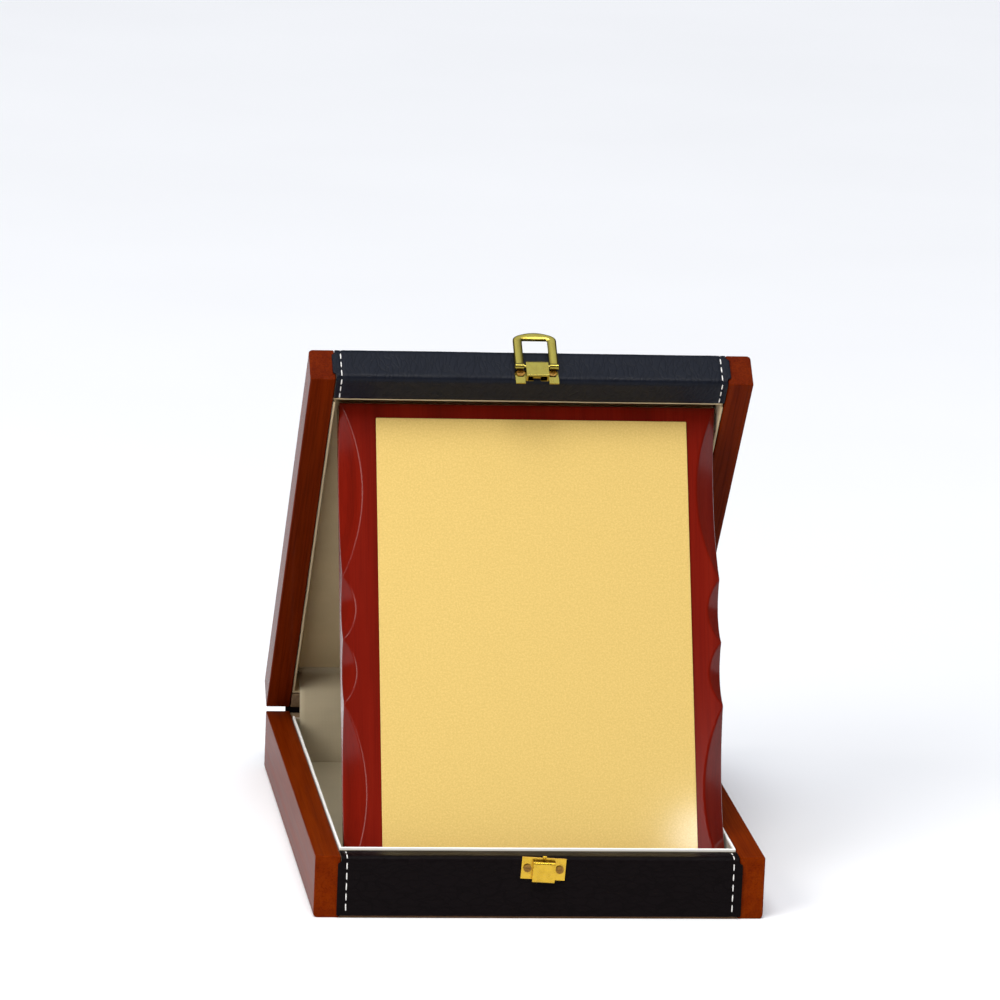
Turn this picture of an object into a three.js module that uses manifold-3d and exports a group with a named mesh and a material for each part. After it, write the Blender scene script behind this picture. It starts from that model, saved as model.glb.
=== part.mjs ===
// Award plaque in its presentation case: a mahogany board with a gold plate, standing
// in a shallow case of two solid wood side rails with leatherette-covered walls between
// them, and propping the lid open. Millimetres, +X right, +Y to the back, +Z up.
// The origin is the middle of the case's underside.

import * as THREE from 'three';
import { mergeVertices } from 'three/addons/utils/BufferGeometryUtils.js';
import Module from 'manifold-3d';

// ---- driving dimensions ----------------------------------------------------
const CASE_WIDTH = 220;
const CASE_DEPTH = 272;
const BASE_HEIGHT = 31;
const LID_HEIGHT = 18.6;
const RAIL_WIDTH = 12.5;
const GAP = 0.3;               // clearance between touching pieces

const BOARD_THICKNESS = 10.5;  // front and back walls, without their leather
const LID_FRONT_EXTRA = 4.9;   // the lid's front wall is this much thicker
const PANEL_THICKNESS = 3;
const LEATHER = 0.8;
const LEATHER_OVERLAP = 1.4;   // leather lapping over the rails' front ends
const LEATHER_FOOT = 1.2;      // its lower edge above the underside
const LIP_DEPTH = 7;           // leather turned in over the front rims
const LINING = 1.2;
const LINING_RISE = 0.9;       // base lining standing above the rim, at the front and sides
const LINING_RECESS = 0.4;     // and the other linings set back from their rims
const FRONT_RECESS = 1.6;      // lining inside the lid's front wall
const FLOOR_PAD = 4.4;
const CEILING_PAD = 1.6;

const HINGE_SETBACK = 2.1;     // spine crease behind the back wall
const HINGE_RISE = 1.4;        // and above the base's rim
const LID_OPEN = THREE.MathUtils.degToRad(51);
const SPINE = { thickness: 0.6, low: 0.2, high: 2.9, slit: 0.25, setIn: 0.1 };
const BACK_RISE = 3.2;         // lid's back leather starts this far above the base's rim
const HINGE_CLOTH = {          // lining cloth across the hinge, with the lid open
  line: [[123.2, 31.4], [124.1, 35.6], [125.5, 40.2], [127.4, 44.6], [130.2, 47]],
  thickness: 0.6, inset: 4,
};

const PLAQUE_WIDTH = 187.6;
const PLAQUE_SHIFT = 0.8;      // stands a little right of the middle
const PLAQUE_LENGTH = 239.5;
const PLAQUE_THICKNESS = 15;
const PLAQUE_LEAN = THREE.MathUtils.degToRad(63.2);
const PLAQUE_PIVOT = { y: -113.37, z: 17.17 };      // heel about which it is laid down
const PLAQUE_PIVOT_LOCAL = { s: 6.23, t: 6.63 };    // the same point, up from the foot edge
                                                    // and in from the face
const SCALLOPS = [88, 31.75, 31.75, 88];            // chord of each scoop along a side
const SCALLOP_DEPTHS = [10.5, 6.5, 6.5, 10.5];
const SCALLOP_TILT = Math.atan(10.5 / 12);          // each scoop runs out before the back

const GOLD_PLATE = { width: 155, length: 223.9, thickness: 0.6, shift: 1.5 };
const ADHESIVE = { thickness: 0.25, inset: 3, gap: 0.1 };

const LATCH_X = 1.7;
const KEEPER_X = 0.9;
const LATCH_WIDTH = 21.4;
const LATCH_PLATE = { bottom: 27.7, middle: 30, top: 36, thickness: 1, fold: 0.8, foldHeight: 0.6 };
const HOUSING = { width: 11.1, bottom: 29.8, top: 39.6, height: 5.5, wall: 0.8, notch: 3.7 };
const PIN = { z: 37, height: 3.5, radius: 0.9 };
const BAIL = { width: 21.6, arm: 4.5, length: 21.3, bar: 4.7, thickness: 1.6, eye: 1.6 };
const KEEPER = { width: 21.6, height: 10.8, top: 30.95, thickness: 0.8, twist: 3 };
const HOOK = { width: 10.9, top: 29.6, bottom: 20.8, height: 4.2, wall: 0.8 };
const NIB = { radius: 0.9, length: 1.9, reach: 1.6, rise: 0.3 };    // on top of the keeper
const LATCH_SCREW = { reach: 7.95, z: 34.3 };
const KEEPER_SCREW_REACH = 7.9;
const CROSS_SLOT = { length: 2.6, width: 0.5, depth: 0.4 };
const SCREW = { head: 2, headHeight: 0.5, shank: 0.8, length: 8.5, hole: 1.1 };

// ---- derived places --------------------------------------------------------
const HALF_WIDTH = CASE_WIDTH / 2;
const HALF_DEPTH = CASE_DEPTH / 2;
const RAIL_INNER = HALF_WIDTH - RAIL_WIDTH;
const PANEL_EDGE = RAIL_INNER - GAP;
const WALL_INNER = HALF_DEPTH - BOARD_THICKNESS;
const FACE = HALF_DEPTH + GAP + LEATHER;                   // leather's outer surface
const LIP_OUTER = WALL_INNER - GAP;
const LIP_INNER = LIP_OUTER - LEATHER;
const LINING_OUTER = LIP_INNER - GAP;
const LINING_INNER = LINING_OUTER - LINING;
const LID_TOP = BASE_HEIGHT + LID_HEIGHT;
const HINGE = { y: HALF_DEPTH + HINGE_SETBACK, z: BASE_HEIGHT + HINGE_RISE };

const COLOURS = {
  rail: 0x8a3a14, lidRail: 0x6c2410, board: 0xb08a5a, panel: 0x7a5232, leather: 0x17161a,
  lining: 0xb9a888, mahogany: 0x7a1410, gold: 0xe8c878, adhesive: 0xd8d4c8, brass: 0xb99a3a,
};

// ---- solids ----------------------------------------------------------------
const wasm = await Module();
wasm.setup();

function toManifold(geometry) {
  const plain = geometry.clone();
  plain.deleteAttribute('normal');
  plain.deleteAttribute('uv');
  const merged = mergeVertices(plain, 1e-3);
  return new wasm.Manifold(new wasm.Mesh({
    numProp: 3,
    vertProperties: Float32Array.from(merged.attributes.position.array),
    triVerts: Uint32Array.from(merged.index.array),
  }));
}

function fromManifold(solid) {
  const { vertProperties, triVerts } = solid.getMesh();
  const geometry = new THREE.BufferGeometry();
  geometry.setAttribute('position', new THREE.BufferAttribute(Float32Array.from(vertProperties), 3));
  geometry.setIndex(new THREE.BufferAttribute(Uint32Array.from(triVerts), 1));
  return geometry;
}

function join(...geometries) {
  const solids = geometries.map(toManifold);
  return fromManifold(solids.reduce((whole, next) => whole.add(next)));
}

function cut(body, ...tools) {
  return fromManifold(tools.map(toManifold).reduce((rest, tool) => rest.subtract(tool), toManifold(body)));
}

function box(x0, x1, y0, y1, z0, z1) {
  const geometry = new THREE.BoxGeometry(x1 - x0, y1 - y0, z1 - z0);
  return geometry.translate((x0 + x1) / 2, (y0 + y1) / 2, (z0 + z1) / 2);
}

// A section drawn in (y, z), run from x0 to x1.
function alongX(shape, x0, x1, curveSegments = 4) {
  const geometry = new THREE.ExtrudeGeometry(shape, { depth: x1 - x0, bevelEnabled: false, curveSegments });
  const basis = new THREE.Matrix4().makeBasis(
    new THREE.Vector3(0, 1, 0), new THREE.Vector3(0, 0, 1), new THREE.Vector3(1, 0, 0));
  return geometry.applyMatrix4(basis).translate(x0, 0, 0);
}

// A section drawn in (x, z), run from y0 to y1.
function alongY(shape, y0, y1, curveSegments = 4) {
  const geometry = new THREE.ExtrudeGeometry(shape, { depth: y1 - y0, bevelEnabled: false, curveSegments });
  const basis = new THREE.Matrix4().makeBasis(
    new THREE.Vector3(1, 0, 0), new THREE.Vector3(0, 0, 1), new THREE.Vector3(0, -1, 0));
  return geometry.applyMatrix4(basis).translate(0, y1, 0);
}

// A round bar along X (segments sides) centred on (y, z).
function rodX(radius, x0, x1, y, z, segments = 12) {
  const geometry = new THREE.CylinderGeometry(radius, radius, x1 - x0, segments);
  return geometry.rotateZ(Math.PI / 2).translate((x0 + x1) / 2, y, z);
}

// A round bar along Y centred on (x, z).
function rodY(radius, y0, y1, x, z, segments = 12) {
  const geometry = new THREE.CylinderGeometry(radius, radius, y1 - y0, segments);
  return geometry.translate(x, (y0 + y1) / 2, z);
}

// A rectangle with a radius for each corner, counter-clockwise from the low-low corner.
function roundedRect(a0, a1, b0, b1, radii) {
  const [r0, r1, r2, r3] = radii;
  const shape = new THREE.Shape();
  shape.moveTo(a0 + r0, b0);
  shape.lineTo(a1 - r1, b0);
  shape.absarc(a1 - r1, b0 + r1, r1, -Math.PI / 2, 0, false);
  shape.lineTo(a1, b1 - r2);
  shape.absarc(a1 - r2, b1 - r2, r2, 0, Math.PI / 2, false);
  shape.lineTo(a0 + r3, b1);
  shape.absarc(a0 + r3, b1 - r3, r3, Math.PI / 2, Math.PI, false);
  shape.lineTo(a0, b0 + r0);
  shape.absarc(a0 + r0, b0 + r0, r0, Math.PI, Math.PI * 1.5, false);
  return shape;
}

// The outline of a thin sheet that follows a bent line of points.
function strip(line, thickness) {
  const points = line.map(([a, b]) => new THREE.Vector2(a, b));
  const normals = points.slice(1).map((point, i) => {
    const along = point.clone().sub(points[i]).normalize();
    return new THREE.Vector2(-along.y, along.x);
  });
  const offset = (side) => points.map((point, i) => {
    const before = normals[Math.max(i - 1, 0)];
    const after = normals[Math.min(i, normals.length - 1)];
    const mitre = before.clone().add(after).normalize();
    return point.clone().addScaledVector(mitre, side * thickness / 2 / mitre.dot(after));
  });
  return new THREE.Shape([...offset(-1), ...offset(1).reverse()]);
}

// The points of a polyline whose inner corners are rounded to the given radius.
function roundedLine(corners, radius) {
  const points = corners.map(([a, b]) => new THREE.Vector2(a, b));
  const path = new THREE.Path();
  path.moveTo(points[0].x, points[0].y);
  for (let i = 1; i < points.length - 1; i += 1) {
    const into = points[i].clone().lerp(points[i - 1], radius / points[i].distanceTo(points[i - 1]));
    const out = points[i].clone().lerp(points[i + 1], radius / points[i].distanceTo(points[i + 1]));
    path.lineTo(into.x, into.y);
    path.quadraticCurveTo(points[i].x, points[i].y, out.x, out.y);
  }
  path.lineTo(points.at(-1).x, points.at(-1).y);
  return path.getPoints(3).map((point) => [point.x, point.y]);
}

function piece(name, geometry, colour, roughness = 0.6, metalness = 0) {
  const material = new THREE.MeshStandardMaterial({ color: colour, roughness, metalness });
  const mesh = new THREE.Mesh(geometry, material);
  mesh.name = name;
  return mesh;
}

// ---- side rails ------------------------------------------------------------
// The long edges away from the parting line are rounded more than the others.
function rail(side, z0, z1, part) {
  const small = 0.5;
  const [bottom, top] = part === 'base' ? [2, small] : [small, 2];
  const radii = side > 0 ? [small, bottom, top, small] : [bottom, small, small, top];
  const x0 = side > 0 ? RAIL_INNER : -HALF_WIDTH;
  return alongY(roundedRect(x0, x0 + RAIL_WIDTH, z0, z1, radii), -HALF_DEPTH, HALF_DEPTH);
}

// ---- walls, panels, pads and linings ---------------------------------------
function wallBoard(side, z0, z1, extra = 0) {
  const y0 = side < 0 ? -HALF_DEPTH : WALL_INNER;
  return box(-PANEL_EDGE, PANEL_EDGE, y0, y0 + BOARD_THICKNESS + extra, z0, z1);
}

function drillForScrews(body, places) {
  const holes = places.map(([x, z]) => rodY(SCREW.hole, -FACE - 1, -WALL_INNER + LID_FRONT_EXTRA + 1, x, z));
  return cut(body, ...holes);
}

function endLining(side, z0, z1, extra = 0) {
  const y0 = side < 0 ? -LINING_OUTER + extra : LINING_INNER;
  return box(-PANEL_EDGE, PANEL_EDGE, y0, y0 + LINING, z0, z1);
}

function sideLining(side, z0, z1, extra = 0) {
  const x0 = side < 0 ? -PANEL_EDGE : PANEL_EDGE - LINING;
  return box(x0, x0 + LINING, -LINING_INNER + extra + GAP, LINING_INNER - GAP, z0, z1);
}

function pad(z0, z1, extra = 0) {
  const x = PANEL_EDGE - LINING - GAP;
  const y = LINING_INNER - GAP;
  return box(-x, x, -y + extra, y, z0, z1);
}

// ---- leather ---------------------------------------------------------------
const LEATHER_LINE = HALF_DEPTH + GAP + LEATHER / 2;     // middle of the wall leather
const LIP_LINE = LIP_OUTER - LEATHER / 2;                // middle of the turned-in lip
const BASE_RIM_LINE = BASE_HEIGHT + 0.1 - LEATHER / 2;
const LID_RIM_LINE = BASE_HEIGHT - 0.1 + LEATHER / 2;
const LID_TOP_LINE = LID_TOP + 0.4 - LEATHER / 2;
const BEND = 1.4;
const BACK_LAP = 2.3;                                    // back leather lapping the rails

function baseFrontLeather() {
  const line = roundedLine([
    [-LIP_LINE, BASE_HEIGHT - LIP_DEPTH], [-LIP_LINE, BASE_RIM_LINE],
    [-LEATHER_LINE, BASE_RIM_LINE], [-LEATHER_LINE, LEATHER_FOOT]], BEND);
  const wrap = alongX(strip(line, LEATHER), -PANEL_EDGE, PANEL_EDGE);
  const reach = RAIL_INNER + LEATHER_OVERLAP;
  const flap = box(-reach, reach, -FACE, -FACE + LEATHER, LEATHER_FOOT, BASE_HEIGHT - BEND);
  return join(wrap, flap);
}

function baseBackLeather() {
  const reach = RAIL_INNER + BACK_LAP;
  return box(-reach, reach, FACE - LEATHER, FACE, LEATHER_FOOT, BASE_HEIGHT - SPINE.thickness);
}

function lidLeather() {
  const lip = -LIP_LINE + LID_FRONT_EXTRA;
  const line = roundedLine([
    [lip, BASE_HEIGHT + LIP_DEPTH], [lip, LID_RIM_LINE],
    [-LEATHER_LINE, LID_RIM_LINE], [-LEATHER_LINE, LID_TOP_LINE],
    [LEATHER_LINE, LID_TOP_LINE], [LEATHER_LINE, BASE_HEIGHT + BACK_RISE]], BEND);
  const wrap = alongX(strip(line, LEATHER), -PANEL_EDGE, PANEL_EDGE);
  const frontReach = RAIL_INNER + LEATHER_OVERLAP;
  const [low, high] = [BASE_HEIGHT + BEND, LID_TOP - BEND];
  const front = box(-frontReach, frontReach, -FACE, -FACE + LEATHER, low, high);
  const backReach = RAIL_INNER + BACK_LAP;
  const back = box(-backReach, backReach, FACE - LEATHER, FACE, BASE_HEIGHT + BACK_RISE, high);
  return join(wrap, front, back);
}

// The free leather between base and lid, creased on the hinge line: one half each.
function spineHalf(fromZ, toZ) {
  const reach = RAIL_INNER + BACK_LAP;
  const line = [[LEATHER_LINE, fromZ], [HINGE.y - SPINE.setIn, toZ]];
  return alongX(strip(line, SPINE.thickness), -reach, reach);
}

// The lining cloth that bridges the hinge inside the case.
function liningBridge() {
  const reach = RAIL_INNER - HINGE_CLOTH.inset;
  return alongX(strip(HINGE_CLOTH.line, HINGE_CLOTH.thickness), -reach, reach);
}

// ---- latch -----------------------------------------------------------------
const LATCH_SCREWS = [-1, 1].map((side) => [LATCH_X + side * LATCH_SCREW.reach, LATCH_SCREW.z]);

// Two ears and a folded-down lip that laps the keeper, with a hollow housing between them.
function latchPlate() {
  const left = LATCH_X - LATCH_WIDTH / 2;
  const right = LATCH_X + LATCH_WIDTH / 2;
  const back = -FACE - GAP;
  const front = back - LATCH_PLATE.thickness;
  const edge = HOUSING.width / 2;
  const low = LATCH_X - edge;
  const high = LATCH_X + edge;
  const top = -FACE - HOUSING.height;
  const { bottom } = LATCH_PLATE;
  const ears = box(left, right, front, back, BASE_HEIGHT, LATCH_PLATE.top);
  const foldFront = front - LATCH_PLATE.fold;
  const foldTop = BASE_HEIGHT + LATCH_PLATE.foldHeight;
  const fold = box(left, right, foldFront, back, BASE_HEIGHT, foldTop);
  const lips = [
    box(left, low - GAP, foldFront, front - 0.1, bottom, foldTop),
    box(high + GAP, right, foldFront, front - 0.1, bottom, foldTop),
    box(low - 1, high + 1, foldFront, front - 0.1, LATCH_PLATE.middle, foldTop)];
  const neck = box(low, high, front, back, BASE_HEIGHT, HOUSING.top);
  const section = roundedRect(top, front + 0.2, HOUSING.bottom, HOUSING.top, [0.6, 0, 0, 1.8]);
  const housing = alongX(section, low, high);
  const hollow = box(
    low + HOUSING.wall, high - HOUSING.wall, top + HOUSING.wall, front - 0.1,
    bottom - 1, HOUSING.top - HOUSING.wall);
  const notchHalf = HOUSING.notch / 2;
  const notch = box(
    LATCH_X - notchHalf, LATCH_X + notchHalf, top + HOUSING.wall, 0, bottom - 1, foldTop + 0.6);
  const bore = rodX(PIN.radius + GAP, left - 1, right + 1, -FACE - PIN.height, PIN.z);
  const holes = LATCH_SCREWS.map(([x, z]) => rodY(SCREW.hole, -FACE - 4, -FACE, x, z));
  return cut(join(ears, fold, ...lips, neck, housing), hollow, notch, bore, ...holes);
}

function latchPin() {
  const half = LATCH_WIDTH / 2;
  return rodX(PIN.radius, LATCH_X - half, LATCH_X + half, -FACE - PIN.height, PIN.z);
}

// The bail as it stands at rest: flat against the lid's face, its loop upwards.
function latchBail() {
  const half = BAIL.width / 2;
  const inner = half - BAIL.arm;
  const arch = 2.4;
  const outline = new THREE.Shape();
  outline.moveTo(-half, 1);
  outline.lineTo(-inner, 1);
  outline.lineTo(-inner, BAIL.length - BAIL.bar);
  outline.lineTo(inner, BAIL.length - BAIL.bar);
  outline.lineTo(inner, 1);
  outline.lineTo(half, 1);
  outline.lineTo(half, BAIL.length - 5);
  outline.quadraticCurveTo(half, BAIL.length - arch, half - 4, BAIL.length - arch / 2);
  outline.quadraticCurveTo(0, BAIL.length + arch / 2, -half + 4, BAIL.length - arch / 2);
  outline.quadraticCurveTo(-half, BAIL.length - arch, -half, BAIL.length - 5);
  const y = -FACE - PIN.height;
  const loop = alongY(outline, y - BAIL.thickness / 2, y + BAIL.thickness / 2, 5)
    .translate(LATCH_X, 0, PIN.z);
  const eyes = [-1, 1].map((side) => {
    const x0 = LATCH_X + (side < 0 ? -half : inner);
    return rodX(BAIL.eye, x0, x0 + BAIL.arm, y, PIN.z, 16);
  });
  const bore = rodX(PIN.radius + GAP, LATCH_X - half - 1, LATCH_X + half + 1, y, PIN.z);
  return cut(join(loop, ...eyes), bore);
}

// ---- keeper ----------------------------------------------------------------
const KEEPER_MIDDLE = KEEPER.top - KEEPER.height / 2;
const KEEPER_TURN = THREE.MathUtils.degToRad(KEEPER.twist);
const KEEPER_SCREWS = [-1, 1].map((side) => [KEEPER_X + side * KEEPER_SCREW_REACH, KEEPER_MIDDLE]);
const KEEPER_HOLES = [-1, 1].map((side) => [
  KEEPER_X + side * KEEPER_SCREW_REACH * Math.cos(KEEPER_TURN),
  KEEPER_MIDDLE - side * KEEPER_SCREW_REACH * Math.sin(KEEPER_TURN)]);

function keeperPlate() {
  const half = KEEPER.width / 2;
  const plate = box(
    KEEPER_X - half, KEEPER_X + half, -FACE - GAP - KEEPER.thickness, -FACE - GAP,
    KEEPER.top - KEEPER.height, KEEPER.top);
  const edge = HOOK.width / 2;
  const front = -FACE - GAP - HOOK.height;
  const outer = roundedRect(front, -FACE - GAP - 0.2, HOOK.bottom - 1.6, HOOK.top, [1.2, 0, 0, 1.2]);
  const shell = alongX(outer, KEEPER_X - edge, KEEPER_X + edge);
  const hollow = box(
    KEEPER_X - edge + HOOK.wall, KEEPER_X + edge - HOOK.wall,
    front + HOOK.wall, -FACE - GAP - KEEPER.thickness, HOOK.bottom - 3, HOOK.top - HOOK.wall);
  const nib = rodX(
    NIB.radius, KEEPER_X - NIB.length / 2, KEEPER_X + NIB.length / 2,
    -FACE - NIB.reach, KEEPER.top + NIB.rise);
  const holes = KEEPER_SCREWS.map(([x, z]) => rodY(SCREW.hole, -FACE - 3, -FACE + 1, x, z));
  return cut(join(plate, cut(shell, hollow), nib), ...holes);
}

function screw(x, z, plateFront) {
  const head = rodY(SCREW.head, plateFront - GAP - SCREW.headHeight, plateFront - GAP, x, z, 16);
  const shank = rodY(SCREW.shank, plateFront - GAP - 0.1, plateFront + SCREW.length, x, z);
  const slotFloor = plateFront - GAP - SCREW.headHeight + CROSS_SLOT.depth;
  const [long, wide] = [CROSS_SLOT.length / 2, CROSS_SLOT.width / 2];
  const slots = [box(x - long, x + long, -CASE_DEPTH, slotFloor, z - wide, z + wide),
    box(x - wide, x + wide, -CASE_DEPTH, slotFloor, z - long, z + long)];
  return cut(join(head, shank), ...slots);
}

// ---- plaque ----------------------------------------------------------------
// Drawn lying on its back: x across, y up its length from the foot, z = 0 on the face.
function scoop(side, from, chord, depth) {
  const tilt = SCALLOP_TILT;
  const sagitta = depth * Math.cos(tilt);
  const radius = (chord * chord / 4 + sagitta * sagitta) / (2 * sagitta);
  const half = Math.asin(chord / 2 / radius);
  const shape = new THREE.Shape();
  shape.moveTo(25, chord / 2);
  shape.lineTo(0, chord / 2);
  shape.absarc(radius - sagitta, 0, radius, Math.PI - half, Math.PI + half, false);
  shape.lineTo(25, -chord / 2);
  const steps = chord > 50 ? 14 : 8;
  const tool = new THREE.ExtrudeGeometry(shape, { depth: 60, bevelEnabled: false, curveSegments: steps });
  const outward = new THREE.Vector3(side * Math.cos(tilt), 0, Math.sin(tilt));
  const along = new THREE.Vector3(0, side, 0);
  const away = new THREE.Vector3().crossVectors(outward, along);
  const centre = new THREE.Vector3(side * PLAQUE_WIDTH / 2, from + chord / 2, 0);
  const place = new THREE.Matrix4().makeBasis(outward, along, away);
  place.setPosition(centre.addScaledVector(away, -30));
  return tool.applyMatrix4(place);
}

function plaqueBoard() {
  const section = roundedRect(0, PLAQUE_LENGTH, -PLAQUE_THICKNESS, 0, [3, 1.5, 1, 1]);
  const half = PLAQUE_WIDTH / 2;
  const board = alongX(section, -half, half);
  const tools = [-1, 1].flatMap((side) => {
    let from = 0;
    return SCALLOPS.map((chord, i) => {
      const tool = scoop(side, from, chord, SCALLOP_DEPTHS[i]);
      from += chord;
      return tool;
    });
  });
  return cut(board, ...tools);
}

function goldPlate() {
  const { width, length, thickness, shift } = GOLD_PLATE;
  const low = (PLAQUE_LENGTH - length) / 2;
  const z0 = ADHESIVE.gap * 2 + ADHESIVE.thickness;
  return box(shift - width / 2, shift + width / 2, low, low + length, z0, z0 + thickness);
}

function plateAdhesive() {
  const { width, length, shift } = GOLD_PLATE;
  const half = width / 2 - ADHESIVE.inset;
  const low = (PLAQUE_LENGTH - length) / 2 + ADHESIVE.inset;
  const high = PLAQUE_LENGTH - low;
  return box(shift - half, shift + half, low, high, ADHESIVE.gap, ADHESIVE.gap + ADHESIVE.thickness);
}

// ---- the base --------------------------------------------------------------
function makeBase() {
  const base = new THREE.Group();
  const panelTop = PANEL_THICKNESS;
  const foot = panelTop + GAP;
  const wallTop = BASE_RIM_LINE - LEATHER / 2 - GAP;
  const backTop = BASE_HEIGHT - LINING_RECESS;
  const liningTop = BASE_HEIGHT + LINING_RISE;
  const y = HALF_DEPTH;
  const frontBoard = drillForScrews(wallBoard(-1, foot, wallTop), KEEPER_HOLES);
  const frontLeather = drillForScrews(baseFrontLeather(), KEEPER_HOLES);
  base.add(
    piece('base_left_rail', rail(-1, 0, BASE_HEIGHT, 'base'), COLOURS.rail, 0.35),
    piece('base_right_rail', rail(1, 0, BASE_HEIGHT, 'base'), COLOURS.rail, 0.35),
    piece('base_bottom_panel', box(-PANEL_EDGE, PANEL_EDGE, -y, y, 0, panelTop), COLOURS.panel, 0.8),
    piece('base_front_board', frontBoard, COLOURS.board, 0.8),
    piece('base_back_board', wallBoard(1, foot, wallTop), COLOURS.board, 0.8),
    piece('base_front_leather', frontLeather, COLOURS.leather, 0.5),
    piece('base_back_leather', baseBackLeather(), COLOURS.leather, 0.5),
    piece('base_spine_leather', spineHalf(BASE_HEIGHT - SPINE.low, HINGE.z - SPINE.slit), COLOURS.leather, 0.5),
    piece('base_floor_pad', pad(foot, foot + FLOOR_PAD), COLOURS.lining, 0.95),
    piece('base_front_lining', endLining(-1, foot, liningTop), COLOURS.lining, 0.95),
    piece('base_back_lining', endLining(1, foot, backTop), COLOURS.lining, 0.95),
    piece('base_left_lining', sideLining(-1, foot, liningTop), COLOURS.lining, 0.95),
    piece('base_right_lining', sideLining(1, foot, liningTop), COLOURS.lining, 0.95),
    piece('hinge_lining_cloth', liningBridge(), COLOURS.lining, 0.95),
    makeKeeper(),
  );
  return base;
}

function makeKeeper() {
  const turned = new THREE.Group();
  turned.position.set(KEEPER_X, 0, KEEPER_MIDDLE);
  turned.rotation.y = KEEPER_TURN;
  const inner = new THREE.Group();
  inner.position.set(-KEEPER_X, 0, -KEEPER_MIDDLE);
  const plateFront = -FACE - GAP - KEEPER.thickness;
  const [left, right] = KEEPER_SCREWS.map(([x, z]) => screw(x, z, plateFront));
  inner.add(
    piece('keeper_plate', keeperPlate(), COLOURS.brass, 0.3, 1),
    piece('keeper_screw_left', left, COLOURS.brass, 0.35, 1),
    piece('keeper_screw_right', right, COLOURS.brass, 0.35, 1),
  );
  turned.add(inner);
  return turned;
}

// ---- the lid, drawn shut and then turned open about the spine crease ----------
function makeLid() {
  const shut = new THREE.Group();
  shut.position.set(0, -HINGE.y, -HINGE.z);
  const panelBottom = LID_TOP_LINE - LEATHER / 2 - GAP - PANEL_THICKNESS;
  const wallTop = panelBottom - GAP;
  const wallBottom = LID_RIM_LINE + LEATHER / 2 + GAP;
  const liningBottom = BASE_HEIGHT + LINING_RECESS;
  const ceiling = wallTop - CEILING_PAD;
  const extra = LID_FRONT_EXTRA;
  const frontLining = endLining(-1, BASE_HEIGHT + FRONT_RECESS, ceiling - GAP, extra);
  const liningTop = ceiling - GAP;
  const y = HALF_DEPTH;
  const panel = box(-PANEL_EDGE, PANEL_EDGE, -y, y, panelBottom, panelBottom + PANEL_THICKNESS);
  const frontBoard = drillForScrews(wallBoard(-1, wallBottom, wallTop, extra), LATCH_SCREWS);
  const leather = drillForScrews(lidLeather(), LATCH_SCREWS);
  const plateFront = -FACE - GAP - LATCH_PLATE.thickness;
  const [left, right] = LATCH_SCREWS.map(([x, z]) => screw(x, z, plateFront));
  shut.add(
    piece('lid_left_rail', rail(-1, BASE_HEIGHT, LID_TOP, 'lid'), COLOURS.lidRail, 0.3),
    piece('lid_right_rail', rail(1, BASE_HEIGHT, LID_TOP, 'lid'), COLOURS.lidRail, 0.3),
    piece('lid_top_panel', panel, COLOURS.panel, 0.8),
    piece('lid_front_board', frontBoard, COLOURS.board, 0.8),
    piece('lid_back_board', wallBoard(1, BASE_HEIGHT + 0.2, wallTop), COLOURS.board, 0.8),
    piece('lid_leather', leather, COLOURS.leather, 0.5),
    piece('lid_spine_leather', spineHalf(BASE_HEIGHT + SPINE.high, HINGE.z + SPINE.slit), COLOURS.leather, 0.5),
    piece('lid_ceiling_pad', pad(ceiling, wallTop - GAP, extra), COLOURS.lining, 0.95),
    piece('lid_front_lining', frontLining, COLOURS.lining, 0.95),
    piece('lid_back_lining', endLining(1, liningBottom, liningTop), COLOURS.lining, 0.95),
    piece('lid_left_lining', sideLining(-1, liningBottom, liningTop, extra), COLOURS.lining, 0.95),
    piece('lid_right_lining', sideLining(1, liningBottom, liningTop, extra), COLOURS.lining, 0.95),
    piece('latch_plate', latchPlate(), COLOURS.brass, 0.3, 1),
    piece('latch_pin', latchPin(), COLOURS.brass, 0.25, 1),
    piece('latch_screw_left', left, COLOURS.brass, 0.35, 1),
    piece('latch_screw_right', right, COLOURS.brass, 0.35, 1),
    piece('latch_bail', latchBail(), COLOURS.brass, 0.25, 1),
  );
  const lid = new THREE.Group();
  lid.position.set(0, HINGE.y, HINGE.z);
  lid.rotation.x = -LID_OPEN;
  lid.add(shut);
  return lid;
}

// ---- the plaque, drawn lying and then leant on the lid -------------------------
function makePlaque() {
  const lying = new THREE.Group();
  lying.position.set(0, -PLAQUE_PIVOT_LOCAL.s, PLAQUE_PIVOT_LOCAL.t);
  lying.add(
    piece('plaque_board', plaqueBoard(), COLOURS.mahogany, 0.15),
    piece('plate_adhesive', plateAdhesive(), COLOURS.adhesive, 0.9),
    piece('gold_plate', goldPlate(), COLOURS.gold, 0.35, 0.8),
  );
  const plaque = new THREE.Group();
  plaque.position.set(PLAQUE_SHIFT, PLAQUE_PIVOT.y, PLAQUE_PIVOT.z);
  plaque.rotation.x = PLAQUE_LEAN;
  plaque.add(lying);
  return plaque;
}

const award = new THREE.Group();
award.add(makeBase(), makeLid(), makePlaque());

export default award;
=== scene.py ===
import math

import bmesh
import bpy
from mathutils import Matrix, Vector, noise


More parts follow.
